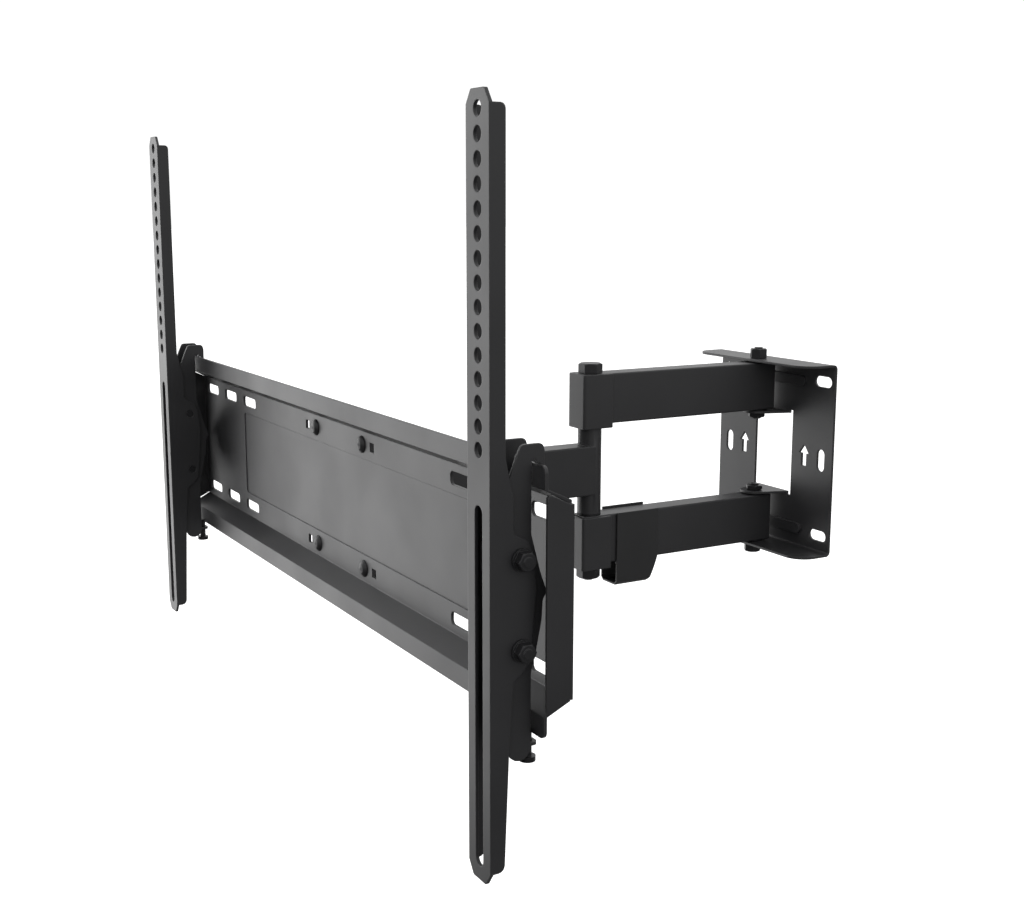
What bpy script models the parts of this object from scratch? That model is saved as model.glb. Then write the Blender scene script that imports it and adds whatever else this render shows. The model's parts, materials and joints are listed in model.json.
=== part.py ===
"""Full motion TV wall mount: a wall plate, two rear arms, one front arm, a swivel head and a
cross plate that carries two hook brackets with their tilting VESA rails.

Frame: the wall is the plane y = 0 and the mount reaches along -y, +x runs along the wall and
+z is up. Metres.
"""

import math

import bmesh
import bpy

mm = 0.001

# fits
gap = 0.3 * mm
washer = 0.6 * mm
segments = 24

# square tubes of the three arms
tube_width = 20.0 * mm
tube_height = 40.8 * mm
tube_wall = 1.8 * mm
tube_corner = 1.2 * mm

# linkage
middle = -47.0 * mm  # height of the arms' middle plane in the part's frame
arm_spread = 116.2 * mm  # between the two rear arms' centre lines
link_length = 172.9 * mm
pivot_reach = 22.3 * mm  # wall face to the first hinge
tube_overhang = 10.8 * mm  # tube past the first hinge
head_reach = 44.1 * mm  # last hinge to the back of the cross plate

# wall plate
wall_width = 150.0 * mm
wall_sheet = 2.0 * mm
flange_margin = 12.0 * mm  # sheet past the hinge
flange_corner = 17.0 * mm
bend = 4.0 * mm  # outer radius where the flanges leave the plate
window_side = 50.8 * mm  # wall plate on each side of the window
tab_end = 12.0 * mm  # radius of the inner tabs about the hinge
relief = (4.2 * mm, 0.9 * mm)  # notch beside each tab, and its depth past the tab
corner_slot = (20.4 * mm, 9.2 * mm)
corner_slot_inset = (14.2 * mm, 15.6 * mm)
side_slot = (9.0 * mm, 19.3 * mm)
side_slot_drop = 1.0 * mm
side_slot_inset = 14.0 * mm
arrow_inset = 35.0 * mm
arrow_rise = 0.7 * mm
arrow_height = 18.8 * mm
arrow_width = 12.0 * mm
arrow_shaft = 5.9 * mm
rib_length = 80.0 * mm
rib_height = 9.0 * mm
rib_step = 2.0 * mm
rib_inset = 17.2 * mm

# hinge fasteners
pivot_bolt_radius = 4.0 * mm
pivot_head = (13.0 * mm, 8.0 * mm)
pivot_nut = (13.0 * mm, 4.0 * mm)
pivot_turn = math.radians(30)  # the wall bolts' hexagons, corners along the arms
elbow_bolt_radius = 5.0 * mm
elbow_head = (17.0 * mm, 8.0 * mm)
head_bolt_head = (13.0 * mm, 4.0 * mm)

# elbow strap
strap_sheet = 2.3 * mm
strap_length = 27.5 * mm
strap_room = 0.9 * mm  # inside of the strap's front past the tube's half width
strap_corner = 2.6 * mm
strap_drop = 4.0 * mm

# swivel head
clevis_sheet = 3.0 * mm
clevis_margin = (10.6 * mm, 10.8 * mm)  # head plate past its bolts
ear_sheet = 2.5 * mm
ear_tip_radius = 12.5 * mm
ear_root_width = 44.0 * mm

# cross plate
plate_width = 645.0 * mm
plate_height = 152.0 * mm
plate_sheet = 2.0 * mm
strip_height = 13.1 * mm
ledge_drop = 8.1 * mm
strip_step = 14.7 * mm
strip_slit = 0.8 * mm
strip_corner = 4.0 * mm
panel_width = 420.0 * mm
panel_inset = 19.8 * mm  # plate face above and below the sunk panel
panel_step = 0.8 * mm
plate_slot = (31.0 * mm, 8.6 * mm)
plate_slot_pitch = 50.0 * mm
plate_slot_count = 3
plate_slot_inset = 26.5 * mm
bolt_spread = 86.8 * mm
bolt_inset = 9.6 * mm  # bolts from the top and bottom of the plate's face
plate_bolt_radius = 4.0 * mm
dome = (12.6 * mm, 3.2 * mm)
plate_nut = (13.0 * mm, 6.5 * mm)
slit_offset = 17.3 * mm
slit = (7.0 * mm, 6.5 * mm)

# rails: heights are from the arms' middle plane, depths from the rail's front face
rail_inset = 22.5 * mm  # rail's middle from the end of the cross plate
rail_width = 25.0 * mm
rail_sheet = 2.0 * mm
rail_top = 269.5 * mm
rail_length = 428.4 * mm
rail_tip_width = 14.5 * mm
rail_tip = 7.5 * mm
rail_flange = 9.6 * mm
hole_pitch = 12.5 * mm
hole_radius = 4.25 * mm
hole_count = 15
hole_inset = 10.0 * mm
long_slot = 205.3 * mm
long_slot_drop = 204.9 * mm  # first hole to the top of the long slot
stand_off = 29.5 * mm  # rail front to the front of the cross plate's strips

# tilt hinge
tilt_depth = 19.4 * mm
tilt_bolt_drop = 25.3 * mm
tilt_bolt_radius = 3.0 * mm
tilt_flange = (13.0 * mm, 1.5 * mm)
tilt_head = (10.0 * mm, 5.5 * mm)
tilt_down = math.radians(10)
tilt_up = math.radians(3)

# hook bracket
bracket_sheet = 2.0 * mm
bracket_front = 12.6 * mm
bracket_back = 26.6 * mm
bracket_foot = 13.4 * mm  # below the cross plate
bracket_foot_round = 6.8 * mm
tab_drop = 8.5 * mm  # cross plate to the underside of the screw's tab
hook_rise = 11.0 * mm  # above the cross plate
hook_tip = 2.6 * mm
hook_bite = 6.0 * mm
screw_radius = 2.5 * mm
screw_disc = (9.5 * mm, 3.0 * mm)
screw_reach = 15.6 * mm  # cross plate to the screw's disc
screw_travel = 6.0 * mm
foot_sheet = 2.0 * mm

# cable clip
clip_sheet = 1.5 * mm
clip_length = 41.0 * mm
clip_start = 20.5 * mm  # elbow axis to the clip
clip_drop = 20.2 * mm
clip_slant = 9.5 * mm  # how far its lower edge runs in
clip_far_rise = 1.8 * mm

# places that follow from the sizes above
stack = 2 * gap + washer
window_width = wall_width - 2 * window_side
barrel_radius = tube_width / 2 - gap
strap_front = tube_width / 2 + strap_room + strap_sheet  # elbow axis to the outer front
pivot_y = -pivot_reach
elbow_y = pivot_y - link_length
head_y = elbow_y - link_length
plate_back_y = head_y - head_reach
face_y = plate_back_y - plate_sheet
strip_y = face_y - strip_step
rail_y = strip_y - stand_off
arm_low = arm_spread / 2 - tube_height / 2
arm_high = arm_spread / 2 + tube_height / 2
wall_half = arm_high + stack + wall_sheet
tab_low = arm_low - stack - wall_sheet
face_half = plate_height / 2 - strip_height - ledge_drop
bolt_pitch = (bolt_spread, 2 * (face_half - bolt_inset))
panel_height = 2 * (face_half - panel_inset)
clevis_width = bolt_pitch[0] + 2 * clevis_margin[0]
clevis_height = bolt_pitch[1] + 2 * clevis_margin[1]
rail_spacing = plate_width - 2 * rail_inset
rail_inner = rail_width / 2 - rail_sheet
bracket_half = rail_inner - gap
tilt_hole = tilt_bolt_radius + gap
tilt_radius = 2 * tilt_bolt_drop


def clear_scene():
    for item in list(bpy.data.objects):
        bpy.data.objects.remove(item, do_unlink=True)
    for mesh in list(bpy.data.meshes):
        bpy.data.meshes.remove(mesh)


def material(name, colour, roughness, metallic):
    mat = bpy.data.materials.new(name)
    mat.use_nodes = True
    shader = mat.node_tree.nodes["Principled BSDF"]
    shader.inputs["Base Color"].default_value = (*colour, 1.0)
    shader.inputs["Roughness"].default_value = roughness
    shader.inputs["Metallic"].default_value = metallic
    return mat


def along(axis, u, v, w):
    """A point whose w runs along the axis, with u and v in the other two directions."""
    if axis == "x":
        return (w, u, v)
    if axis == "y":
        return (u, w, v)
    return (u, v, w)


def prism(outline, axis, low, high):
    """A solid with a flat outline, closed, carried from low to high along the axis."""
    bm = bmesh.new()
    near = [bm.verts.new(along(axis, u, v, low)) for u, v in outline]
    far = [bm.verts.new(along(axis, u, v, high)) for u, v in outline]
    bm.faces.new(near)
    bm.faces.new(far)
    count = len(outline)
    for i in range(count):
        j = (i + 1) % count
        bm.faces.new((near[i], near[j], far[j], far[i]))
    bmesh.ops.recalc_face_normals(bm, faces=bm.faces)
    return bm


def rectangle(u0, u1, v0, v1):
    return [(u0, v0), (u1, v0), (u1, v1), (u0, v1)]


def arc(centre, radius, start, end, steps):
    return [
        (
            centre[0] + radius * math.cos(start + (end - start) * i / steps),
            centre[1] + radius * math.sin(start + (end - start) * i / steps),
        )
        for i in range(steps + 1)
    ]


def circle(centre, radius, count=segments):
    return arc(centre, radius, 0, 2 * math.pi, count)[:-1]


def hexagon(centre, across_flats, turn=0.0):
    radius = across_flats / math.sqrt(3)
    return arc(centre, radius, turn, turn + 2 * math.pi, 6)[:-1]


def rounded(outline, radius, steps=4):
    """The outline with every corner rounded, or with one radius for each corner."""
    count = len(outline)
    radii = radius if isinstance(radius, (list, tuple)) else [radius] * count
    points = []
    for i in range(count):
        here = outline[i]
        before = outline[i - 1]
        after = outline[(i + 1) % count]
        if radii[i] <= 0:
            points.append(here)
            continue
        a = (before[0] - here[0], before[1] - here[1])
        b = (after[0] - here[0], after[1] - here[1])
        la = math.hypot(*a)
        lb = math.hypot(*b)
        a = (a[0] / la, a[1] / la)
        b = (b[0] / lb, b[1] / lb)
        half = math.acos(max(-1, min(1, a[0] * b[0] + a[1] * b[1]))) / 2
        back = min(radii[i] / math.tan(half), la * 0.49, lb * 0.49)
        size = back * math.tan(half)
        way = (a[0] + b[0], a[1] + b[1])
        lw = math.hypot(*way)
        reach = size / math.sin(half)
        centre = (here[0] + way[0] / lw * reach, here[1] + way[1] / lw * reach)
        start = (here[0] + a[0] * back, here[1] + a[1] * back)
        end = (here[0] + b[0] * back, here[1] + b[1] * back)
        t0 = math.atan2(start[1] - centre[1], start[0] - centre[0])
        t1 = math.atan2(end[1] - centre[1], end[0] - centre[0])
        turn = (t1 - t0 + math.pi) % (2 * math.pi) - math.pi
        points += arc(centre, size, t0, t0 + turn, steps)
    return points


def slot_outline(centre, width, height, steps=8):
    """A slot with round ends, its longer way along the larger size."""
    u, v = centre
    if width >= height:
        r = height / 2
        half = width / 2 - r
        right = arc((u + half, v), r, -math.pi / 2, math.pi / 2, steps)
        left = arc((u - half, v), r, math.pi / 2, 3 * math.pi / 2, steps)
        return right + left
    r = width / 2
    half = height / 2 - r
    top = arc((u, v + half), r, 0, math.pi, steps)
    bottom = arc((u, v - half), r, math.pi, 2 * math.pi, steps)
    return top + bottom


def curved_slot(centre, radius, half_width, start, end, steps=6):
    """A slot that follows an arc about the centre, with round ends."""
    outer = arc(centre, radius + half_width, start, end, steps)
    inner = arc(centre, radius - half_width, end, start, steps)
    tip = (centre[0] + radius * math.cos(end), centre[1] + radius * math.sin(end))
    root = (centre[0] + radius * math.cos(start), centre[1] + radius * math.sin(start))
    first = arc(tip, half_width, end, end + math.pi, steps)[1:-1]
    last = arc(root, half_width, start + math.pi, start + 2 * math.pi, steps)[1:-1]
    return outer + first + inner + last


def to_object(name, bm):
    mesh = bpy.data.meshes.new(name)
    bm.to_mesh(mesh)
    bm.free()
    item = bpy.data.objects.new(name, mesh)
    bpy.context.scene.collection.objects.link(item)
    return item


def combine(item, pieces, operation):
    """The object with each piece joined to it or cut from it."""
    for piece in pieces:
        tool = to_object("tool", piece)
        modifier = item.modifiers.new("cut", "BOOLEAN")
        modifier.operation = operation
        modifier.solver = "EXACT"
        modifier.object = tool
        bpy.context.view_layer.update()
        graph = bpy.context.evaluated_depsgraph_get()
        mesh = bpy.data.meshes.new_from_object(item.evaluated_get(graph))
        item.modifiers.clear()
        old = item.data
        item.data = mesh
        bpy.data.meshes.remove(old)
        shape = tool.data
        bpy.data.objects.remove(tool, do_unlink=True)
        bpy.data.meshes.remove(shape)
    return item


def union(name, pieces):
    item = to_object(name, pieces[0])
    return combine(item, pieces[1:], "UNION")


def several(pieces):
    """Separate solids in one mesh, for one cut."""
    bm = bmesh.new()
    for piece in pieces:
        mesh = bpy.data.meshes.new("several")
        piece.to_mesh(mesh)
        piece.free()
        bm.from_mesh(mesh)
        bpy.data.meshes.remove(mesh)
    return bm


def cut(item, pieces):
    return combine(item, pieces, "DIFFERENCE")


def finish(item, mat, origin):
    """Sets the material, the origin and the height in the part's frame."""
    bm = bmesh.new()
    bm.from_mesh(item.data)
    bmesh.ops.remove_doubles(bm, verts=bm.verts, dist=0.000005)
    bmesh.ops.dissolve_limit(
        bm, angle_limit=0.001, verts=bm.verts, edges=bm.edges, delimit={"NORMAL"}
    )
    bmesh.ops.triangulate(bm, faces=bm.faces)
    bmesh.ops.recalc_face_normals(bm, faces=bm.faces)
    for vert in bm.verts:
        vert.co.x -= origin[0]
        vert.co.y -= origin[1]
        vert.co.z -= origin[2]
    bm.to_mesh(item.data)
    bm.free()
    item.location = (origin[0], origin[1], origin[2] + middle)
    item.data.materials.clear()
    item.data.materials.append(mat)
    for face in item.data.polygons:
        face.use_smooth = True
    item.data.set_sharp_from_angle(angle=math.radians(30))
    return item


def wall_plate(mat):
    y_front = -wall_sheet
    flange_y = pivot_y - flange_margin
    half = wall_width / 2
    tab_half = window_width / 2 - relief[0]
    plan = rounded(
        [(-half, 0), (-half, flange_y), (half, flange_y), (half, 0)],
        [0, flange_corner, flange_corner, 0],
        6,
    )
    # each tab tapers from its root to a round end about the hinge
    lean = math.atan2(pivot_reach, tab_half) - math.acos(tab_end / math.hypot(pivot_reach, tab_half))
    tab = [(-tab_half, 0), *arc((0, pivot_y), tab_end, math.pi - lean, 2 * math.pi + lean, 16), (tab_half, 0)]
    top = wall_half - wall_sheet
    item = union(
        "wall_plate",
        [
            prism(rectangle(-half, half, -wall_half, wall_half), "y", y_front, 0),
            prism(plan, "z", top, wall_half),
            prism(plan, "z", -wall_half, -top),
            prism(slot_outline((0, rib_z()), rib_length, rib_height), "y", y_front - rib_step, 0),
            prism(slot_outline((0, -rib_z()), rib_length, rib_height), "y", y_front - rib_step, 0),
        ],
    )
    outside = bend_outline(bend, 0, mm)
    inside = bend_outline(bend - wall_sheet, -wall_sheet, wall_sheet / 4)
    for side in (-1, 1):
        fill = [(y, side * z) for y, z in inside]
        combine(item, [prism(fill, "x", gap - half, half - gap)], "UNION")
        spare = [(y, side * z) for y, z in outside]
        cut(item, [prism(spare, "x", -half - mm, half + mm)])
    cut(item, [prism(rectangle(-window_width / 2, window_width / 2, -tab_low, tab_low), "y", -0.05, 0.05)])
    tabs = [
        prism(tab, "z", tab_low, tab_low + wall_sheet),
        prism(tab, "z", -tab_low - wall_sheet, -tab_low),
    ]
    combine(item, tabs, "UNION")
    holes = []
    dents = []
    notch_top = tab_low + wall_sheet + relief[1]
    for side in (-1, 1):
        ends = sorted((side * tab_half, side * window_width / 2))
        for levels in ((tab_low - mm, notch_top), (-notch_top, -tab_low + mm)):
            holes.append(prism(rectangle(*ends, *levels), "y", -0.05, 0.05))
        for level in (-1, 1):
            spot = (side * (half - corner_slot_inset[0]), level * (wall_half - corner_slot_inset[1]))
            holes.append(prism(slot_outline(spot, *corner_slot), "y", -0.05, 0.05))
        spot = (side * (half - side_slot_inset), -side_slot_drop)
        holes.append(prism(slot_outline(spot, *side_slot), "y", -0.05, 0.05))
        holes.append(prism(arrow(side * (half - arrow_inset)), "y", -0.05, 0.05))
        inner = (rib_length - 4 * mm, rib_height - 4 * mm)
        dents.append(prism(slot_outline((0, side * rib_z()), *inner), "y", -rib_step, 0.01))
    cut(item, [several(holes), several(dents)])
    bore = circle((0, pivot_y), pivot_bolt_radius + gap)
    cut(item, [prism(bore, "z", -wall_half - 0.01, wall_half + 0.01)])
    return finish(item, mat, (0, 0, 0))


def bend_outline(radius, edge, past):
    """The corner left over outside a bend, seen along it, up to a little past both faces."""
    top = wall_half + edge
    centre = (edge - radius, top - radius)
    return [
        *arc(centre, radius, math.pi / 2, 0, 6),
        (edge + past, top - radius),
        (edge + past, top + past),
        (edge - radius, top + past),
    ]


def rib_z():
    return wall_half - rib_inset


def arrow(x):
    low = arrow_rise - arrow_height / 2
    high = arrow_rise + arrow_height / 2
    neck = high - arrow_height * 0.42
    shaft = arrow_shaft / 2
    return [
        (x - shaft, low),
        (x + shaft, low),
        (x + shaft, neck),
        (x + arrow_width / 2, neck),
        (x, high),
        (x - arrow_width / 2, neck),
        (x - shaft, neck),
    ]


def tube(name, y0, y1, z0, bores):
    """A square tube along y, open at both ends, with upright bores."""
    z1 = z0 + tube_height
    half = tube_width / 2
    outer = rounded([(-half, z0), (half, z0), (half, z1), (-half, z1)], tube_corner)
    inside = rectangle(-half + tube_wall, half - tube_wall, z0 + tube_wall, z1 - tube_wall)
    item = to_object(name, prism(outer, "y", y0, y1))
    cut(item, [prism(inside, "y", y0 - 0.01, y1 + 0.01)])
    for y, radius in bores:
        cut(item, [prism(circle((0, y), radius + gap), "z", z0 - 0.01, z1 + 0.01)])
    return item


def rear_arm(name, z0, mat):
    front = elbow_y - strap_front + strap_sheet + gap
    back = pivot_y + tube_overhang
    bores = [(elbow_y, elbow_bolt_radius), (pivot_y, pivot_bolt_radius)]
    return finish(tube(name, front, back, z0, bores), mat, (0, pivot_y, 0))


def elbow_strap(name, z0, z1, mat):
    outer_half = tube_width / 2 + gap + strap_sheet
    inner_half = tube_width / 2 + gap
    front = elbow_y - strap_front
    back = front + strap_length
    outer = rounded(
        [(-outer_half, back), (-outer_half, front), (outer_half, front), (outer_half, back)],
        [0, strap_corner, strap_corner, 0],
        6,
    )
    inner_corner = 0.8 * mm
    inner_front = front + strap_sheet
    inner = rounded(
        [
            (-inner_half, back),
            (-inner_half, inner_front),
            (inner_half, inner_front),
            (inner_half, back),
        ],
        [0, inner_corner, inner_corner, 0],
        4,
    )
    inner.reverse()
    return finish(to_object(name, prism(outer + inner, "z", z0, z1)), mat, (0, pivot_y, 0))


def ring(name, x, y, z0, z1, outer, inner, mat, origin):
    item = to_object(name, prism(circle((x, y), outer), "z", z0, z1))
    cut(item, [prism(circle((x, y), inner), "z", z0 - 0.01, z1 + 0.01)])
    return finish(item, mat, origin)


def upright_bolt(name, y, head_z, tip_z, radius, head, mat, origin, turn=0.0):
    """A hexagon bolt on an upright axis, its head on the side away from the tip."""
    sign = 1 if head_z > tip_z else -1
    low = min(head_z, head_z + sign * head[1])
    item = union(
        name,
        [
            prism(hexagon((0, y), head[0], turn), "z", low, low + head[1]),
            prism(circle((0, y), radius), "z", min(tip_z, head_z), max(tip_z, head_z)),
        ],
    )
    return finish(item, mat, origin)


def upright_nut(name, y, z0, z1, across, radius, mat, origin, turn=0.0):
    item = to_object(name, prism(hexagon((0, y), across, turn), "z", z0, z1))
    cut(item, [prism(circle((0, y), radius + gap), "z", z0 - 0.01, z1 + 0.01)])
    return finish(item, mat, origin)


def wall_hinge(side, mat, nylon):
    """One wall hinge: bolt, nut and two washers, above or below the middle plane."""
    word = "upper" if side > 0 else "lower"
    origin = (0, pivot_y, 0)
    head_z = side * (wall_half + gap)
    nut_top = tab_low - gap
    nut_low = nut_top - pivot_nut[1]
    upright_bolt(
        word + "_pivot_bolt", pivot_y, head_z, side * nut_low, pivot_bolt_radius, pivot_head, mat,
        origin, pivot_turn,
    )
    ends = sorted((side * nut_low, side * nut_top))
    upright_nut(
        word + "_pivot_nut", pivot_y, *ends, pivot_nut[0], pivot_bolt_radius, mat, origin, pivot_turn
    )
    for place, level in (("outer", arm_high + gap), ("inner", arm_low - gap - washer)):
        ends = sorted((side * level, side * (level + washer)))
        ring(
            word + "_" + place + "_washer", 0, pivot_y, *ends,
            9 * mm, pivot_bolt_radius + gap, nylon, origin,
        )


def elbow_hinge(mat, nylon):
    origin = (0, pivot_y, 0)
    spacer_top = -arm_high - gap
    spacer_low = spacer_top - strap_drop
    nut_top = spacer_low - gap
    nut_low = nut_top - elbow_head[1]
    upright_bolt(
        "elbow_bolt", elbow_y, arm_high + gap, nut_low, elbow_bolt_radius, elbow_head, mat, origin
    )
    upright_nut("elbow_nut", elbow_y, nut_low, nut_top, elbow_head[0], elbow_bolt_radius, mat, origin)
    bore = elbow_bolt_radius + gap
    outer = tube_width / 2 - gap
    ring("elbow_spacer", 0, elbow_y, spacer_low, spacer_top, outer, bore, mat, origin)
    for word, side in (("upper", 1), ("lower", -1)):
        ends = sorted((side * (arm_low - gap), side * (arm_low - gap - washer)))
        ring(word + "_elbow_washer", 0, elbow_y, *ends, barrel_radius, bore, nylon, origin)


def front_arm(mat):
    half_width = tube_width / 2
    half = tube_height / 2
    barrel_half = arm_low - stack
    outer = rounded(
        [(-half_width, -half), (half_width, -half), (half_width, half), (-half_width, half)], tube_corner
    )
    inside = rectangle(-half_width + tube_wall, half_width - tube_wall, -half + tube_wall, half - tube_wall)
    item = union(
        "front_arm",
        [
            prism(outer, "y", head_y, elbow_y),
            prism(circle((0, elbow_y), barrel_radius), "z", -barrel_half, barrel_half),
            prism(circle((0, head_y), barrel_radius), "z", -half, half),
        ],
    )
    cut(item, [prism(inside, "y", head_y, elbow_y)])
    bores = (
        prism(circle((0, elbow_y), elbow_bolt_radius + gap), "z", -0.2, 0.2),
        prism(circle((0, head_y), pivot_bolt_radius + gap), "z", -0.2, 0.2),
    )
    cut(item, bores)
    return finish(item, mat, (0, elbow_y, 0))


def head_clevis(mat):
    half = tube_height / 2
    front = plate_back_y + gap
    back = front + clevis_sheet
    ear_low = half + stack
    root = ear_root_width / 2
    base = rounded(
        rectangle(-clevis_width / 2, clevis_width / 2, -clevis_height / 2, clevis_height / 2), 8 * mm
    )
    tip = arc((0, head_y), ear_tip_radius, 0, math.pi, 12)
    ear = [(-root, front + clevis_sheet / 2), (root, front + clevis_sheet / 2)]
    ear += [(root, back + 4 * mm)] + tip + [(-root, back + 4 * mm)]
    item = union(
        "head_clevis",
        [
            prism(base, "y", front, back),
            prism(ear, "z", ear_low, ear_low + ear_sheet),
            prism(ear, "z", -ear_low - ear_sheet, -ear_low),
        ],
    )
    cut(item, [prism(circle((0, head_y), pivot_bolt_radius + gap), "z", -0.1, 0.1)])
    holes = []
    for x, z in bolt_spots():
        holes.append(prism(circle((x, z), plate_bolt_radius + gap), "y", front - 0.01, back + 0.01))
    cut(item, [several(holes)])
    return finish(item, mat, (0, head_y, 0))


def head_hinge(mat, nylon):
    origin = (0, head_y, 0)
    half = tube_height / 2
    ear_top = half + stack + ear_sheet
    nut_top = -ear_top - gap
    nut_low = nut_top - head_bolt_head[1]
    upright_bolt(
        "head_bolt", head_y, ear_top + gap, nut_low, pivot_bolt_radius, head_bolt_head, mat, origin
    )
    upright_nut("head_nut", head_y, nut_low, nut_top, head_bolt_head[0], pivot_bolt_radius, mat, origin)
    for word, side in (("upper", 1), ("lower", -1)):
        ends = sorted((side * (half + gap), side * (half + gap + washer)))
        ring(
            word + "_head_washer", 0, head_y, *ends, barrel_radius, pivot_bolt_radius + gap, nylon, origin
        )


def bolt_spots():
    return [(sx * bolt_pitch[0] / 2, sz * bolt_pitch[1] / 2) for sx in (-1, 1) for sz in (-1, 1)]


def cross_plate(mat):
    top = plate_height / 2
    strip_low = top - strip_height
    outer = plate_width / 2
    body = outer - plate_sheet - strip_slit
    back = plate_back_y
    profile = [
        (strip_y, -top),
        (strip_y, -strip_low),
        (face_y, -face_half),
        (face_y, face_half),
        (strip_y, strip_low),
        (strip_y, top),
        (strip_y + plate_sheet, top),
        (strip_y + plate_sheet, strip_low + plate_sheet * 0.25),
        (back, face_half + plate_sheet * 0.9),
        (back, -face_half - plate_sheet * 0.9),
        (strip_y + plate_sheet, -strip_low - plate_sheet * 0.25),
        (strip_y + plate_sheet, -top),
    ]
    end_outline = rounded(
        [
            (back, -face_half),
            (back, face_half),
            (face_y, face_half),
            (strip_y, strip_low - 1 * mm),
            (strip_y, -strip_low + 1 * mm),
            (face_y, -face_half),
        ],
        [0, 0, 0, 2 * mm, 2 * mm, 0],
    )
    item = union(
        "cross_plate",
        [
            prism(profile, "x", -body, body),
            prism(rectangle(face_y, back, -face_half, face_half), "x", -outer, outer),
            prism(end_outline, "x", -outer, -outer + plate_sheet),
            prism(end_outline, "x", outer - plate_sheet, outer),
        ],
    )
    panel = rounded(
        rectangle(-panel_width / 2, panel_width / 2, -panel_height / 2, panel_height / 2), 3 * mm
    )
    cut(item, [prism(panel, "y", strip_y, face_y + panel_step)])
    holes = []
    for side in (-1, 1):
        for level in (-1, 1):
            z = level * bolt_pitch[1] / 2
            for i in range(plate_slot_count):
                x = side * (outer - plate_slot_inset - i * plate_slot_pitch)
                w, h = plate_slot
                shape = rounded(rectangle(x - w / 2, x + w / 2, z - h / 2, z + h / 2), 3 * mm)
                holes.append(prism(shape, "y", face_y - 0.005, back + 0.005))
            x = side * (bolt_pitch[0] / 2 + slit_offset)
            w, h = slit
            shape = rectangle(x - w / 2, x + w / 2, z - h / 2, z + h / 2)
            holes.append(prism(shape, "y", face_y - 0.005, back + 0.005))
            x = side * bolt_pitch[0] / 2
            shape = circle((x, z), plate_bolt_radius + gap)
            holes.append(prism(shape, "y", face_y - 0.005, back + 0.005))
    cut(item, [several(holes)])
    corners = []
    for side in (-1, 1):
        for level in (-1, 1):
            x = side * body
            z = level * top
            r = strip_corner
            mid = (x - side * r, z - level * r)
            start = 0 if side > 0 else math.pi
            turn = math.pi / 2 * side * level
            shape = [(x + side * mm, z + level * mm), (x + side * mm, z - level * r)]
            shape += arc(mid, r, start, start + turn, 5) + [(x - side * r, z + level * mm)]
            corners.append(prism(shape, "y", strip_y - 0.002, strip_y + plate_sheet + 0.002))
    cut(item, [several(corners)])
    return finish(item, mat, (0, head_y, 0))


def plate_fasteners(mat):
    """Four dome bolts through the cross plate and the head, each with its nut."""
    origin = (0, head_y, 0)
    head_back = face_y - gap
    nut_front = plate_back_y + gap + clevis_sheet + gap
    nut_back = nut_front + plate_nut[1]
    rings = 4
    for number, (x, z) in enumerate(bolt_spots(), 1):
        bm = bmesh.new()
        rows = []
        sphere = (dome[0] ** 2 / 4 + dome[1] ** 2) / (2 * dome[1])
        for i in range(rings):
            y = dome[1] * i / rings
            r = math.sqrt(sphere**2 - (sphere - dome[1] + y) ** 2)
            rows.append([(x + r * math.cos(a), head_back - y, z + r * math.sin(a)) for a in turns()])
        shaft = [
            [(x + plate_bolt_radius * math.cos(a), y, z + plate_bolt_radius * math.sin(a)) for a in turns()]
            for y in (nut_back, head_back)
        ]
        loops = [[bm.verts.new(p) for p in row] for row in shaft + rows]
        bm.faces.new(loops[0])
        for one, two in zip(loops, loops[1:]):
            for i in range(segments):
                j = (i + 1) % segments
                bm.faces.new((one[i], one[j], two[j], two[i]))
        crown = bm.verts.new((x, head_back - dome[1], z))
        for i in range(segments):
            bm.faces.new((loops[-1][i], loops[-1][(i + 1) % segments], crown))
        bmesh.ops.recalc_face_normals(bm, faces=bm.faces)
        finish(to_object("plate_bolt_%d" % number, bm), mat, origin)
        shape = prism(hexagon((x, z), plate_nut[0]), "y", nut_front, nut_back)
        nut = to_object("plate_nut_%d" % number, shape)
        bore = prism(circle((x, z), plate_bolt_radius + gap), "y", nut_front - 0.01, nut_back + 0.01)
        finish(cut(nut, [bore]), mat, origin)


def turns():
    return [2 * math.pi * i / segments for i in range(segments)]


def rail_side():
    """Side outline of the rail's flange, as depth behind the front face and height."""
    d = tilt_bolt_drop
    top = rail_top - rail_tip
    foot = rail_top - rail_length + rail_tip
    ear = tilt_depth + 9.2 * mm
    neck = bracket_front + 2.1 * mm
    hook = plate_height / 2
    points = [
        (0, foot),
        (0, top),
        (rail_flange, top),
        (rail_flange, hook + 4.8 * mm),
        (bracket_front - 0.3 * mm, hook - 8 * mm),
        (neck, hook - 17 * mm),
        (neck, d + 14.2 * mm),
        (ear - 5.5 * mm, d + 10 * mm),
        (ear - 2.2 * mm, d + 3 * mm),
        (ear, 8 * mm),
        (ear - 2.2 * mm, -17 * mm),
        (ear - 3.8 * mm, -d - 7.7 * mm),
        (ear - 8.6 * mm, -d - 13.2 * mm),
        (neck, -d - 17 * mm),
        (bracket_front - 0.6 * mm, -hook - 2 * mm),
        (rail_flange - 0.6 * mm, foot),
    ]
    radii = [0, 0, 3, 4, 0, 3, 3, 3, 4, 8, 0, 3, 4, 3, 6, 4]
    return rounded(points, [r * mm for r in radii], 3)


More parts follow.
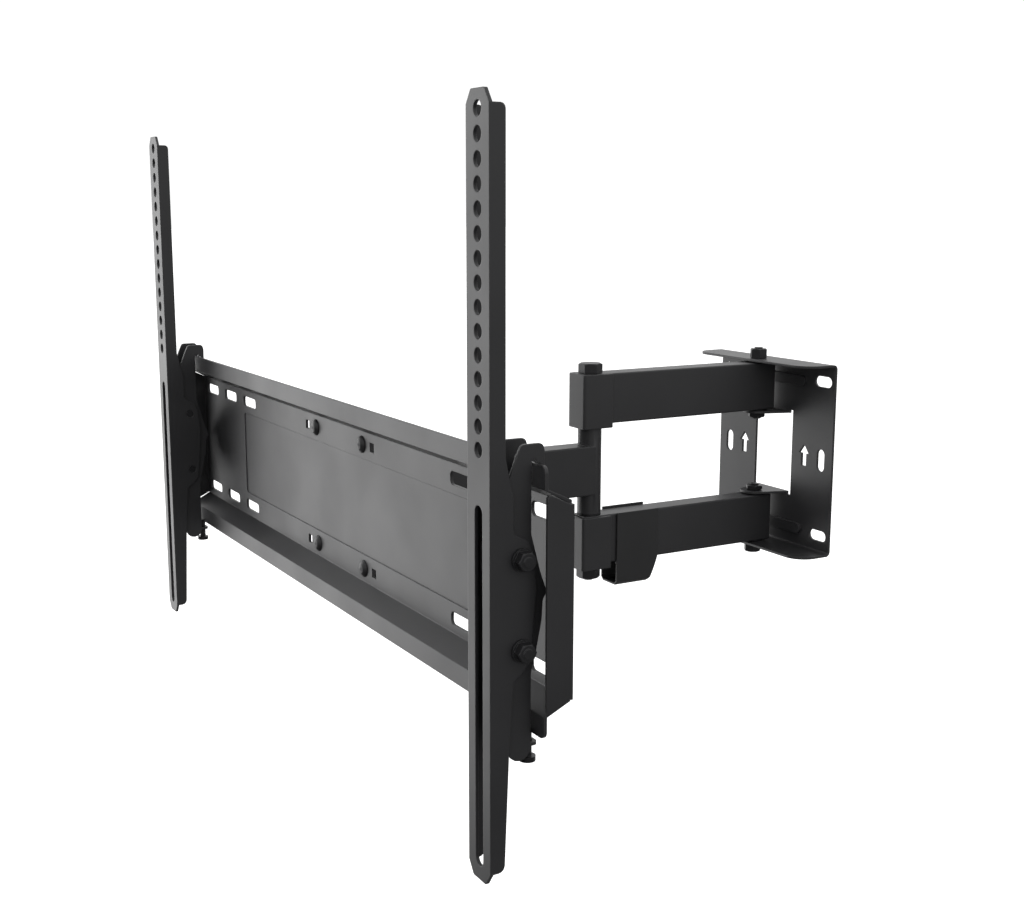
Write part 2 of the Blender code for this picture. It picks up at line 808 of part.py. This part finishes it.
def rail(name, side, mat):
    x0 = side * rail_spacing / 2
    half = rail_width / 2
    foot = rail_top - rail_length
    outline = [
        (x0 - half, foot + rail_tip),
        (x0 - rail_tip_width / 2, foot),
        (x0 + rail_tip_width / 2, foot),
        (x0 + half, foot + rail_tip),
        (x0 + half, rail_top - rail_tip),
        (x0 + rail_tip_width / 2, rail_top),
        (x0 - rail_tip_width / 2, rail_top),
        (x0 - half, rail_top - rail_tip),
    ]
    flange = [(rail_y + y, z) for y, z in rail_side()]
    item = union(
        name,
        [
            prism(rounded(outline, 1.5 * mm, 2), "y", rail_y, rail_y + rail_sheet),
            prism(flange, "x", x0 - half, x0 - rail_inner),
            prism(flange, "x", x0 + rail_inner, x0 + half),
        ],
    )
    holes = []
    first = rail_top - hole_inset
    for i in range(hole_count):
        spot = (x0, first - i * hole_pitch)
        holes.append(prism(circle(spot, hole_radius, 20), "y", rail_y - 0.01, rail_y + rail_sheet + 0.005))
    slot_mid = (x0, first - long_slot_drop - long_slot / 2)
    shape = slot_outline(slot_mid, 2 * hole_radius, long_slot)
    holes.append(prism(shape, "y", rail_y - 0.01, rail_y + rail_sheet + 0.005))
    cut(item, [several(holes)])
    bores = []
    for level in (-1, 1):
        shape = circle((rail_y + tilt_depth, level * tilt_bolt_drop), tilt_hole)
        bores.append(prism(shape, "x", x0 - half - 0.01, x0 + half + 0.01))
    cut(item, [several(bores)])
    return finish(item, mat, (x0, rail_y + tilt_depth, -tilt_bolt_drop))


def bracket_side():
    """Side outline of the hook bracket: hook above, nose in the middle, foot below."""
    hook = plate_height / 2
    strip = stand_off
    foot = -hook - bracket_foot
    d = tilt_bolt_drop
    swing = tilt_radius * math.sin(tilt_down)
    cheek = tilt_depth - swing - tilt_hole - 1.5 * mm
    back = strip + plate_sheet + 0.6 * mm
    points = [
        (bracket_front, foot),
        (bracket_front, -d + 12 * mm),
        (cheek, d - 11 * mm),
        (cheek, d + 7 * mm),
        (bracket_front, d + 14 * mm),
        (bracket_front, hook - 8.5 * mm),
        (tilt_depth - 1.6 * mm, hook + 5 * mm),
        (tilt_depth + 1.2 * mm, hook + hook_rise),
        (back + 1.4 * mm, hook + hook_rise),
        (back + hook_tip, hook + hook_rise - 4 * mm),
        (back + hook_tip, hook - hook_bite),
        (back, hook - hook_bite),
        (back, hook + gap),
        (bracket_back, hook + gap),
        (bracket_back, 38 * mm),
        (bracket_back + 5.7 * mm, 16.5 * mm),
        (bracket_back + 9.9 * mm, 5 * mm),
        (bracket_back + 7.4 * mm, 0.5 * mm),
        (bracket_back + 6.7 * mm, -10.5 * mm),
        (bracket_back + 3.4 * mm, -27 * mm),
        (bracket_back, -40 * mm),
        (bracket_back, foot),
    ]
    end = bracket_foot_round / mm
    radii = [end, 4, 2, 3, 3, 3, 3, 3, 4, 3, 1, 0.4, 0.5, 0.5, 6, 0, 1.2, 1.5, 8, 8, 6, end]
    return rounded(points, [r * mm for r in radii], 4)


def hook_bracket(name, side, mat):
    x0 = side * rail_spacing / 2
    hook = plate_height / 2
    foot = -hook - bracket_foot
    d = tilt_bolt_drop
    cheek = [(rail_y + y, z) for y, z in bracket_side()]
    inner = bracket_half - bracket_sheet
    y0 = rail_y + bracket_front
    web_top = (d + 15 * mm, hook - 9.5 * mm)
    web_foot = (foot + 12 * mm, -d - 14 * mm)
    tab = -hook - tab_drop
    screw_y = screw_place()
    plan = rounded(
        [
            (x0 - 5 * mm, screw_y + 4.2 * mm),
            (x0 - 5 * mm, rail_y + bracket_back - 1.5 * mm),
            (x0 - bracket_half + 0.5 * mm, rail_y + bracket_back - 3.5 * mm),
            (x0 - bracket_half + 0.5 * mm, y0 + 6.5 * mm),
            (x0 + bracket_half - 0.5 * mm, y0 + 6.5 * mm),
            (x0 + bracket_half - 0.5 * mm, rail_y + bracket_back - 3.5 * mm),
            (x0 + 5 * mm, rail_y + bracket_back - 1.5 * mm),
            (x0 + 5 * mm, screw_y + 4.2 * mm),
        ],
        [3 * mm, 0, 0, 0, 0, 0, 0, 3 * mm],
    )
    item = union(
        name,
        [
            prism(cheek, "x", x0 - bracket_half, x0 - inner),
            prism(rectangle(x0 - inner - mm, x0 + inner + mm, *web_top), "y", y0, y0 + bracket_sheet),
            prism(rectangle(x0 - inner - mm, x0 + inner + mm, *web_foot), "y", y0, y0 + bracket_sheet),
            prism(cheek, "x", x0 + inner, x0 + bracket_half),
            prism(plan, "z", tab, tab + foot_sheet),
        ],
    )
    pivot = (rail_y + tilt_depth, -d)
    bores = [
        prism(circle(pivot, tilt_hole), "x", x0 - 0.03, x0 + 0.03),
        prism(
            curved_slot(
                pivot, tilt_radius, tilt_hole, math.pi / 2 - tilt_up, math.pi / 2 + tilt_down
            ),
            "x", x0 - 0.03, x0 + 0.03,
        ),
        prism(
            circle((rail_y + stand_off - 1.2 * mm, hook + 1.4 * mm), 1.6 * mm, 16), "x", x0 - 0.03, x0 + 0.03
        ),
    ]
    cut(item, [several(bores)])
    drill = prism(circle((x0, screw_y), screw_radius + gap), "z", tab - 0.002, tab + foot_sheet + 0.002)
    cut(item, [drill])
    return finish(item, mat, (x0, rail_y + tilt_depth, 0))


def screw_place():
    return strip_y + plate_sheet / 2


def tilt_bolt(name, side, level, mat):
    """Cross bolt of the tilt hinge, its head on the rail's outer side."""
    x0 = side * rail_spacing / 2
    half = rail_width / 2
    spot = (rail_y + tilt_depth, level * tilt_bolt_drop)
    seat = half + gap
    rim = seat + tilt_flange[1]
    steps = ((-half, seat), (seat, rim), (rim, rim + tilt_head[1]))
    ends = [sorted((x0 + side * a, x0 + side * b)) for a, b in steps]
    item = union(
        name,
        [
            prism(circle(spot, tilt_bolt_radius), "x", *ends[0]),
            prism(circle(spot, tilt_flange[0] / 2), "x", *ends[1]),
            prism(hexagon(spot, tilt_head[0]), "x", *ends[2]),
        ],
    )
    return finish(item, mat, (x0, rail_y + tilt_depth, -tilt_bolt_drop))


def safety_screw(name, side, mat):
    x0 = side * rail_spacing / 2
    top = -plate_height / 2 - gap
    neck = -plate_height / 2 - screw_reach
    spot = (x0, screw_place())
    item = union(
        name,
        [
            prism(circle(spot, screw_radius, 16), "z", neck, top),
            prism(circle(spot, screw_disc[0] / 2), "z", neck - screw_disc[1], neck),
        ],
    )
    return finish(item, mat, (x0, screw_place(), 0))


def cable_clip(mat):
    inner = tube_width / 2 + gap
    outer = inner + clip_sheet
    arm_top = -arm_low
    arm_foot = -arm_high
    base = arm_foot - clip_drop
    shelf = 2 * mm
    y0 = elbow_y + clip_start
    y1 = y0 + clip_length
    profile = [
        (outer, arm_top + 0.5 * mm),
        (outer, base + 3 * mm),
        (outer - 3 * mm, base),
        (-outer + 3 * mm, base),
        (-outer, base + 3 * mm),
        (-outer, arm_top + clip_far_rise),
        (-inner, arm_top + clip_far_rise),
        (-inner, arm_foot - gap),
        (-inner + shelf, arm_foot - gap),
        (-inner, arm_foot - gap - shelf),
        (-inner, base + 3.6 * mm),
        (-inner + 2.1 * mm, base + clip_sheet),
        (inner - 2.1 * mm, base + clip_sheet),
        (inner, base + 3.6 * mm),
        (inner, arm_foot - gap - shelf),
        (inner - shelf, arm_foot - gap),
        (inner, arm_foot - gap),
        (inner, arm_top + 0.5 * mm),
    ]
    item = to_object("cable_clip", prism(profile, "y", y0, y1))
    drop = clip_drop
    bend = [(y1 + mm, base - mm), (y1 - clip_slant, base - mm), (y1 - clip_slant, base)]
    bend += [(y1 - clip_slant * 0.84, base + drop * 0.06), (y1 - clip_slant * 0.52, base + drop * 0.36)]
    bend += [(y1 - clip_slant * 0.24, base + drop * 0.68), (y1, arm_foot), (y1 + mm, arm_foot)]
    cut(item, [prism(bend, "x", -0.03, 0.03)])
    return finish(item, mat, (0, pivot_y, 0))


def build():
    clear_scene()
    steel = material("black_steel", (0.028, 0.028, 0.03), 0.42, 0.0)
    bolts = material("black_bolt", (0.02, 0.02, 0.021), 0.38, 0.3)
    nylon = material("black_nylon", (0.012, 0.012, 0.013), 0.5, 0.0)
    plastic = material("black_plastic", (0.02, 0.02, 0.021), 0.5, 0.0)
    wall_plate(steel)
    rear_arm("upper_arm", arm_low, steel)
    rear_arm("lower_arm", -arm_high, steel)
    elbow_strap("upper_elbow_strap", arm_low - strap_drop + 0.8 * mm, arm_high, steel)
    elbow_strap("lower_elbow_strap", -arm_high - strap_drop, -arm_low - 0.8 * mm, steel)
    wall_hinge(1, bolts, nylon)
    wall_hinge(-1, bolts, nylon)
    elbow_hinge(bolts, nylon)
    front_arm(steel)
    head_clevis(steel)
    head_hinge(bolts, nylon)
    cross_plate(steel)
    plate_fasteners(bolts)
    for word, side in (("left", -1), ("right", 1)):
        rail(word + "_rail", side, steel)
        hook_bracket(word + "_hook_bracket", side, steel)
        tilt_bolt(word + "_tilt_pivot_bolt", side, -1, bolts)
        tilt_bolt(word + "_tilt_lock_bolt", side, 1, bolts)
        safety_screw(word + "_safety_screw", side, bolts)
    cable_clip(plastic)


build()
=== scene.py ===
import json
import math

import bpy
from mathutils import Matrix, Vector


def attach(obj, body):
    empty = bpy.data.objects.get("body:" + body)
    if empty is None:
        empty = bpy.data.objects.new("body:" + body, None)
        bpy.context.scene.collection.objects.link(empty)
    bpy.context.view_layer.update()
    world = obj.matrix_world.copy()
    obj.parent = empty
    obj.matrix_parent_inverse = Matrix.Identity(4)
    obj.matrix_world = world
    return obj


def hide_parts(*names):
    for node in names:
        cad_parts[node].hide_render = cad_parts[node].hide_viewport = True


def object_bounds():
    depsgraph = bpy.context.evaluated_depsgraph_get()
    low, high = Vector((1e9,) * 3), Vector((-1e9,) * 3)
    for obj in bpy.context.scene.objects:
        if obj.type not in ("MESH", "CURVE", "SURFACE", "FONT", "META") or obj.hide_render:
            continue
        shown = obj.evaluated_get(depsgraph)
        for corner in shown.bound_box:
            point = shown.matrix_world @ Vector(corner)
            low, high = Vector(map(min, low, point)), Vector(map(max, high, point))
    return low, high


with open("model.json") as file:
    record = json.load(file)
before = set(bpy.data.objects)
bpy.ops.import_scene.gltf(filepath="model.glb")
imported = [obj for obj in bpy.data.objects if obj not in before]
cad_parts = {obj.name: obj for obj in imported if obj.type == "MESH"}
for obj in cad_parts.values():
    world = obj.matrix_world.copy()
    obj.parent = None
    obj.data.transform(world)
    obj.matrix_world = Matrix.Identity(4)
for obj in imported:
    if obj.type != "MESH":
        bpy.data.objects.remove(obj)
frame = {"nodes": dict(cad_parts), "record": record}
cadLow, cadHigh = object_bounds()
nodes = frame["nodes"]
record = frame["record"]
bodyOf = {n: b for b, names in record["behaviour"]["bodies"].items() for n in names}
print("frame loaded:", len(nodes), "nodes")

# Each finish: two tones the coat drifts between, then a paler grey painted along the edges as a highlight,
# then roughness, orange peel and edge rounding.
steelCoat = {
    "dark": (0.020, 0.020, 0.0215, 1),
    "light": (0.034, 0.034, 0.036, 1),
    "worn": (0.085, 0.085, 0.088, 1),
    "roughLow": 0.38,
    "roughHigh": 0.46,
    "peelScale": 620.0,
    "peelHeight": 0.00003,
    "edgeRadius": 0.0009,
}
boltCoat = {
    "dark": (0.012, 0.012, 0.013, 1),
    "light": (0.030, 0.030, 0.032, 1),
    "worn": (0.11, 0.11, 0.115, 1),
    "roughLow": 0.26,
    "roughHigh": 0.42,
    "peelScale": 1500.0,
    "peelHeight": 0.000012,
    "edgeRadius": 0.0004,
}
nylonFinish = {
    "dark": (0.010, 0.010, 0.011, 1),
    "light": (0.018, 0.018, 0.019, 1),
    "worn": (0.024, 0.024, 0.025, 1),
    "roughLow": 0.45,
    "roughHigh": 0.6,
    "peelScale": 900.0,
    "peelHeight": 0.00001,
    "edgeRadius": 0.0003,
}
clipFinish = {
    "dark": (0.015, 0.015, 0.016, 1),
    "light": (0.026, 0.026, 0.027, 1),
    "worn": (0.045, 0.045, 0.046, 1),
    "roughLow": 0.42,
    "roughHigh": 0.58,
    "peelScale": 1100.0,
    "peelHeight": 0.00002,
    "edgeRadius": 0.0006,
}


grain = {
    "ior": 1.5,
    "cloudScale": 18.0,
    "cloudDetail": 5.0,
    "peelDetail": 3.0,
    "peelStrength": 0.6,
    "edgeBand": (0.985, 0.80),
    "roughBand": (0.3, 0.7),
}


def coatMaterial(name, look, metallic):
    mat = bpy.data.materials.new(name)
    mat.use_nodes = True
    tree = mat.node_tree
    link = tree.links.new
    shader = tree.nodes["Principled BSDF"]
    shader.inputs["Metallic"].default_value = metallic
    shader.inputs["IOR"].default_value = grain["ior"]
    coord = tree.nodes.new("ShaderNodeTexCoord")
    cloud = tree.nodes.new("ShaderNodeTexNoise")  # slow drift of tone over the coat
    cloud.inputs["Scale"].default_value = grain["cloudScale"]
    cloud.inputs["Detail"].default_value = grain["cloudDetail"]
    link(coord.outputs["Object"], cloud.inputs["Vector"])
    peel = tree.nodes.new("ShaderNodeTexNoise")  # the fine orange peel of the coat
    peel.inputs["Scale"].default_value = look["peelScale"]
    peel.inputs["Detail"].default_value = grain["peelDetail"]
    link(coord.outputs["Object"], peel.inputs["Vector"])
    tone = tree.nodes.new("ShaderNodeMix")
    tone.data_type = "RGBA"
    tone.inputs["A"].default_value = look["dark"]
    tone.inputs["B"].default_value = look["light"]
    link(cloud.outputs["Fac"], tone.inputs["Factor"])
    rounder = tree.nodes.new("ShaderNodeBevel")
    rounder.inputs["Radius"].default_value = look["edgeRadius"]
    flat = tree.nodes.new("ShaderNodeNewGeometry")
    same = tree.nodes.new("ShaderNodeVectorMath")
    same.operation = "DOT_PRODUCT"
    link(rounder.outputs["Normal"], same.inputs[0])
    link(flat.outputs["Normal"], same.inputs[1])
    # Painted highlight: along the edges, where the rounded normal leaves the flat one, the colour is
    # pulled towards the paler grey, patchy with the tone noise.
    edge = tree.nodes.new("ShaderNodeMapRange")
    edge.inputs["From Min"].default_value = grain["edgeBand"][0]
    edge.inputs["From Max"].default_value = grain["edgeBand"][1]
    link(same.outputs["Value"], edge.inputs["Value"])
    edgeHighlightMask = tree.nodes.new("ShaderNodeMath")
    edgeHighlightMask.operation = "MULTIPLY"
    link(edge.outputs["Result"], edgeHighlightMask.inputs[0])
    link(cloud.outputs["Fac"], edgeHighlightMask.inputs[1])
    edgeHighlightMix = tree.nodes.new("ShaderNodeMix")
    edgeHighlightMix.data_type = "RGBA"
    edgeHighlightMix.inputs["B"].default_value = look["worn"]
    link(edgeHighlightMask.outputs["Value"], edgeHighlightMix.inputs["Factor"])
    link(tone.outputs["Result"], edgeHighlightMix.inputs["A"])
    link(edgeHighlightMix.outputs["Result"], shader.inputs["Base Color"])
    rough = tree.nodes.new("ShaderNodeMapRange")
    rough.inputs["From Min"].default_value = grain["roughBand"][0]
    rough.inputs["From Max"].default_value = grain["roughBand"][1]
    rough.inputs["To Min"].default_value = look["roughLow"]
    rough.inputs["To Max"].default_value = look["roughHigh"]
    link(cloud.outputs["Fac"], rough.inputs["Value"])
    link(rough.outputs["Result"], shader.inputs["Roughness"])
    bump = tree.nodes.new("ShaderNodeBump")
    bump.inputs["Strength"].default_value = grain["peelStrength"]
    bump.inputs["Distance"].default_value = look["peelHeight"]
    link(peel.outputs["Fac"], bump.inputs["Height"])
    link(rounder.outputs["Normal"], bump.inputs["Normal"])
    link(bump.outputs["Normal"], shader.inputs["Normal"])
    return mat


coats = {
    "black_steel": coatMaterial("black_steel_coat", steelCoat, 0.0),
    "black_bolt": coatMaterial("black_bolt_coat", boltCoat, 0.35),
    "black_nylon": coatMaterial("black_nylon_finish", nylonFinish, 0.0),
    "black_plastic": coatMaterial("black_clip_finish", clipFinish, 0.0),
}
slotOf = {s["node"]: s["material_slot"] for s in record["subparts"]}
for name, item in nodes.items():
    item.data.materials.clear()
    item.data.materials.append(coats[slotOf[name]])
print("finishes on", len(nodes), "nodes")


def pickNone():
    bpy.ops.object.select_all(action="DESELECT")


def makeActive(item):
    pickNone()
    item.select_set(True)
    bpy.context.view_layer.objects.active = item


def applyAll(item):
    makeActive(item)
    for modifier in list(item.modifiers):
        bpy.ops.object.modifier_apply(modifier=modifier.name)


# edge rounding of the bent and punched sheet, in metres
edgeOf = {
    "wall_plate": 0.0006,
    "upper_arm": 0.0004,
    "lower_arm": 0.0004,
    "upper_elbow_strap": 0.0006,
    "lower_elbow_strap": 0.0006,
    "front_arm": 0.0004,
    "head_clevis": 0.0006,
    "cross_plate": 0.0005,
    "left_rail": 0.0005,
    "right_rail": 0.0005,
    "left_hook_bracket": 0.0005,
    "right_hook_bracket": 0.0005,
    "cable_clip": 0.0004,
}


finishing = {
    "mergeWithin": 0.000004,
    "flatWithin": math.radians(0.5),
    "smoothBelow": math.radians(40),
    "sheetEdge": math.radians(35),
    "boltEdge": math.radians(25),
    "rounds": 2,
}


def mergedCopy(name, ending):
    # a copy of the CAD piece of its own, with its points merged
    source = nodes[name]
    item = source.copy()
    item.data = source.data.copy()
    item.name = name + ending
    item.parent = None
    item.matrix_world = Matrix.Identity(4)
    bpy.context.scene.collection.objects.link(item)
    makeActive(item)
    bpy.ops.object.mode_set(mode="EDIT")
    bpy.ops.mesh.select_all(action="SELECT")
    bpy.ops.mesh.customdata_custom_splitnormals_clear()
    bpy.ops.mesh.remove_doubles(threshold=finishing["mergeWithin"])
    bpy.ops.mesh.dissolve_limited(angle_limit=finishing["flatWithin"])
    bpy.ops.mesh.normals_make_consistent(inside=False)
    bpy.ops.object.mode_set(mode="OBJECT")
    return item


def settle(item, name):
    # smooth shading, then its place in the assembly
    makeActive(item)
    bpy.ops.object.shade_smooth_by_angle(angle=finishing["smoothBelow"])
    even = item.modifiers.new("even", "WEIGHTED_NORMAL")
    even.keep_sharp = True
    applyAll(item)
    item.data.materials.clear()
    item.data.materials.append(coats[slotOf[name]])
    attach(item, bodyOf[name])
    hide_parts(name)
    return item


def roundedCopy(name, radius):
    # the piece with its edges broken, as pressed sheet has
    item = mergedCopy(name, "_sheet")
    edge = item.modifiers.new("edge", "BEVEL")
    edge.width = radius
    edge.segments = finishing["rounds"]
    edge.limit_method = "ANGLE"
    edge.angle_limit = finishing["sheetEdge"]
    edge.use_clamp_overlap = True
    applyAll(item)
    return settle(item, name)


for name, radius in edgeOf.items():
    piece = roundedCopy(name, radius)
    print("rounded", name, len(piece.data.polygons), "faces")


# hexagon heads and nuts: which way the outer face looks, where its middle is, width across the
# flats, the nut's thickness if it's a nut, and the round end that stands up from the face
hexOf = {
    "upper_pivot_bolt": {
        "out": (0, 0, 1),
        "face": (0, -0.0223, 0.0430),
        "flats": 0.013,
        "end": (0.0036, 0.0011),
    },
    "lower_pivot_bolt": {
        "out": (0, 0, -1),
        "face": (0, -0.0223, -0.1370),
        "flats": 0.013,
    },
    "upper_pivot_nut": {
        "out": (0, 0, -1),
        "face": (0, -0.0223, -0.0168),
        "flats": 0.013,
        "thick": 0.004,
        "end": (0.0038, 0.0014),
    },
    "lower_pivot_nut": {
        "out": (0, 0, 1),
        "face": (0, -0.0223, -0.0772),
        "flats": 0.013,
        "thick": 0.004,
        "end": (0.0038, 0.0014),
    },
    "elbow_bolt": {
        "out": (0, 0, 1),
        "face": (0, -0.1952, 0.0398),
        "flats": 0.017,
    },
    "elbow_nut": {
        "out": (0, 0, -1),
        "face": (0, -0.1952, -0.1381),
        "flats": 0.017,
        "thick": 0.008,
        "end": (0.0048, 0.0016),
    },
    "head_bolt": {
        "out": (0, 0, 1),
        "face": (0, -0.3681, -0.0186),
        "flats": 0.013,
    },
    "head_nut": {
        "out": (0, 0, -1),
        "face": (0, -0.3681, -0.0754),
        "flats": 0.013,
        "thick": 0.004,
        "end": (0.0038, 0.0012),
    },
}
tiltHex = {"x": 0.3198, "y": -0.4390, "z": (-0.0723, -0.0217), "flats": 0.010, "end": (0.0030, 0.0008)}
for word, way in (("left", -1), ("right", 1)):
    for kind, z in zip(("pivot", "lock"), tiltHex["z"]):
        hexOf[f"{word}_tilt_{kind}_bolt"] = {
            "out": (way, 0, 0),
            "face": (way * tiltHex["x"], tiltHex["y"], z),
            "flats": tiltHex["flats"],
            "end": tiltHex["end"],
        }
hexLook = {
    "crown": 0.475,
    "reach": 1.3,
    "slope": math.radians(30),
    "edge": 0.00015,
    "sides": 64,
    "past": 0.25,
}


def turnedBody(look):
    # the shape a hexagon is turned to on a lathe: a flat crown with a slope all round it
    out = Vector(look["out"])
    flats = look["flats"]
    crown = hexLook["crown"] * flats
    slope = math.tan(hexLook["slope"])
    if "thick" in look:
        half = look["thick"] / 2
        spread = 1 + half / slope / crown
        steps = [(half, spread), (half, 1 / spread)]
    else:
        wide = hexLook["reach"] * flats
        steps = [((wide - crown) * slope, wide / crown), (hexLook["past"], 1.0)]
    spot = Vector(look["face"])
    pickNone()
    bpy.ops.mesh.primitive_circle_add(
        vertices=hexLook["sides"], radius=crown, fill_type="NGON", location=spot,
        rotation=out.to_track_quat("Z", "Y").to_euler(),
    )
    body = bpy.context.active_object
    bpy.ops.object.transform_apply(location=True, rotation=True, scale=True)
    bpy.ops.object.mode_set(mode="EDIT")
    bpy.ops.mesh.select_mode(type="FACE")
    bpy.ops.mesh.select_all(action="SELECT")
    for depth, spread in steps:
        bpy.ops.mesh.extrude_region_move(TRANSFORM_OT_translate={"value": tuple(-out * depth)})
        spot = spot - out * depth
        bpy.ops.transform.resize(value=(spread, spread, spread), center_override=spot)
    bpy.ops.mesh.select_all(action="SELECT")
    bpy.ops.mesh.normals_make_consistent(inside=False)
    bpy.ops.object.mode_set(mode="OBJECT")
    return body


stubLook = {"sunk": 0.0006, "sides": 32, "rim": 0.4}


def boltEnd(look):
    # the round end standing up from the face, its rim broken
    radius, rise = look["end"]
    out = Vector(look["out"])
    sunk = stubLook["sunk"]
    pickNone()
    bpy.ops.mesh.primitive_cylinder_add(
        vertices=stubLook["sides"], radius=radius, depth=rise + sunk,
        location=Vector(look["face"]) + out * (rise - sunk) / 2,
        rotation=out.to_track_quat("Z", "Y").to_euler(),
    )
    stub = bpy.context.active_object
    bpy.ops.object.transform_apply(location=True, rotation=True, scale=True)
    bpy.ops.object.mode_set(mode="EDIT")
    bpy.ops.mesh.select_all(action="SELECT")
    bpy.ops.mesh.bevel(
        offset=min(rise, radius) * stubLook["rim"], segments=finishing["rounds"], affect="EDGES"
    )
    bpy.ops.object.mode_set(mode="OBJECT")
    return stub


def turnedHex(name, look):
    item = mergedCopy(name, "_turned")
    body = turnedBody(look)
    shape = item.modifiers.new("shape", "BOOLEAN")
    shape.operation = "INTERSECT"
    shape.solver = "EXACT"
    shape.object = body
    applyAll(item)
    pickNone()
    body.select_set(True)
    bpy.ops.object.delete()
    edge = item.modifiers.new("edge", "BEVEL")
    edge.width = hexLook["edge"]
    edge.segments = finishing["rounds"]
    edge.limit_method = "ANGLE"
    edge.angle_limit = finishing["boltEdge"]
    applyAll(item)
    if "end" in look:
        stub = boltEnd(look)
        pickNone()
        stub.select_set(True)
        item.select_set(True)
        bpy.context.view_layer.objects.active = item
        bpy.ops.object.join()
    return settle(item, name)


for name, look in hexOf.items():
    piece = turnedHex(name, look)
    print("turned", name, len(piece.data.polygons), "faces")


view = {
    "place": (0.9323, -0.7968, 0.1642),
    "turn": math.radians(60.16),
    "tip": math.radians(10.38),
    "roll": math.radians(0.11),
    "lens": 48.60,
    "shift": (-0.0061, -0.0023),
    "sensor": 36.0,
    "clip": (0.01, 50.0),
}


def placeCamera():
    data = bpy.data.cameras.new("camera")
    camera = bpy.data.objects.new("camera", data)
    bpy.context.scene.collection.objects.link(camera)
    data.lens = view["lens"]
    data.sensor_width = view["sensor"]
    data.shift_x, data.shift_y = view["shift"]
    data.clip_start, data.clip_end = view["clip"]
    t, p = view["turn"], view["tip"]
    forward = Vector((-math.sin(t) * math.cos(p), math.cos(t) * math.cos(p), -math.sin(p)))
    aim = forward.to_track_quat("-Z", "Y").to_matrix().to_4x4()
    camera.matrix_world = Matrix.Translation(view["place"]) @ aim @ Matrix.Rotation(view["roll"], 4, "Z")
    bpy.context.scene.camera = camera


floorLook = {"drop": 0.16, "size": 60.0, "colour": (0.86, 0.86, 0.86, 1), "rough": 0.9, "lit": 0.75}


def layFloor():
    pickNone()
    bpy.ops.mesh.primitive_plane_add(size=floorLook["size"], location=(0, 0, cadLow.z - floorLook["drop"]))
    floor = bpy.context.active_object
    floor.name = "floor"
    mat = bpy.data.materials.new("pale_floor")
    mat.use_nodes = True
    shader = mat.node_tree.nodes["Principled BSDF"]
    shader.inputs["Base Color"].default_value = floorLook["colour"]
    shader.inputs["Roughness"].default_value = floorLook["rough"]
    shader.inputs["Emission Color"].default_value = floorLook["colour"]
    shader.inputs["Emission Strength"].default_value = floorLook["lit"]
    floor.data.materials.append(mat)
    floor.visible_diffuse = False
    floor.visible_glossy = False


# the studio round the object: a white wall behind it, dimmer elsewhere and darkest below
studio = {
    "back": (-0.86, 0.50, 0.10),
    "wall": (0.45, 0.76),
    "dim": 0.85,
    "below": 0.16,
    "white": 1.06,
    "horizon": (-0.25, 0.15),
}
softLight = {
    "front": {"place": (-1.75, -1.30, -0.15), "size": 2.0, "power": 22},
    "top": {"place": (-0.2, -0.4, 1.7), "size": 1.4, "power": 3},
}


def whiteWall():
    world = bpy.data.worlds.new("studio")
    bpy.context.scene.world = world
    world.use_nodes = True
    tree = world.node_tree
    link = tree.links.new
    aim = tree.nodes.new("ShaderNodeTexCoord")
    toBack = tree.nodes.new("ShaderNodeVectorMath")
    toBack.operation = "DOT_PRODUCT"
    toBack.inputs[1].default_value = studio["back"]
    link(aim.outputs["Generated"], toBack.inputs[0])
    parts = tree.nodes.new("ShaderNodeSeparateXYZ")
    link(aim.outputs["Generated"], parts.inputs[0])
    room = tree.nodes.new("ShaderNodeMapRange")
    room.inputs["From Min"].default_value = studio["horizon"][0]
    room.inputs["From Max"].default_value = studio["horizon"][1]
    room.inputs["To Min"].default_value = studio["below"]
    room.inputs["To Max"].default_value = studio["dim"]
    link(parts.outputs["Z"], room.inputs["Value"])
    wall = tree.nodes.new("ShaderNodeMapRange")
    wall.interpolation_type = "SMOOTHSTEP"
    wall.inputs["From Min"].default_value = studio["wall"][0]
    wall.inputs["From Max"].default_value = studio["wall"][1]
    link(toBack.outputs["Value"], wall.inputs["Value"])
    glow = tree.nodes.new("ShaderNodeMix")
    glow.inputs["B"].default_value = studio["white"]
    link(wall.outputs["Result"], glow.inputs["Factor"])
    link(room.outputs["Result"], glow.inputs["A"])
    link(glow.outputs["Result"], tree.nodes["Background"].inputs["Strength"])
    tree.nodes["Background"].inputs["Color"].default_value = (1, 1, 1, 1)


def hangLights():
    middle = (cadLow + cadHigh) / 2
    for name, look in softLight.items():
        data = bpy.data.lights.new(name + "_light", "AREA")
        data.shape = "SQUARE"
        data.size = look["size"]
        data.energy = look["power"]
        lamp = bpy.data.objects.new(name + "_light", data)
        bpy.context.scene.collection.objects.link(lamp)
        lamp.location = look["place"]
        lamp.rotation_euler = (middle - Vector(look["place"])).to_track_quat("-Z", "Y").to_euler()
    bpy.context.scene.view_settings.view_transform = "Standard"


placeCamera()
layFloor()
hangLights()
whiteWall()
print("camera, floor and light set")
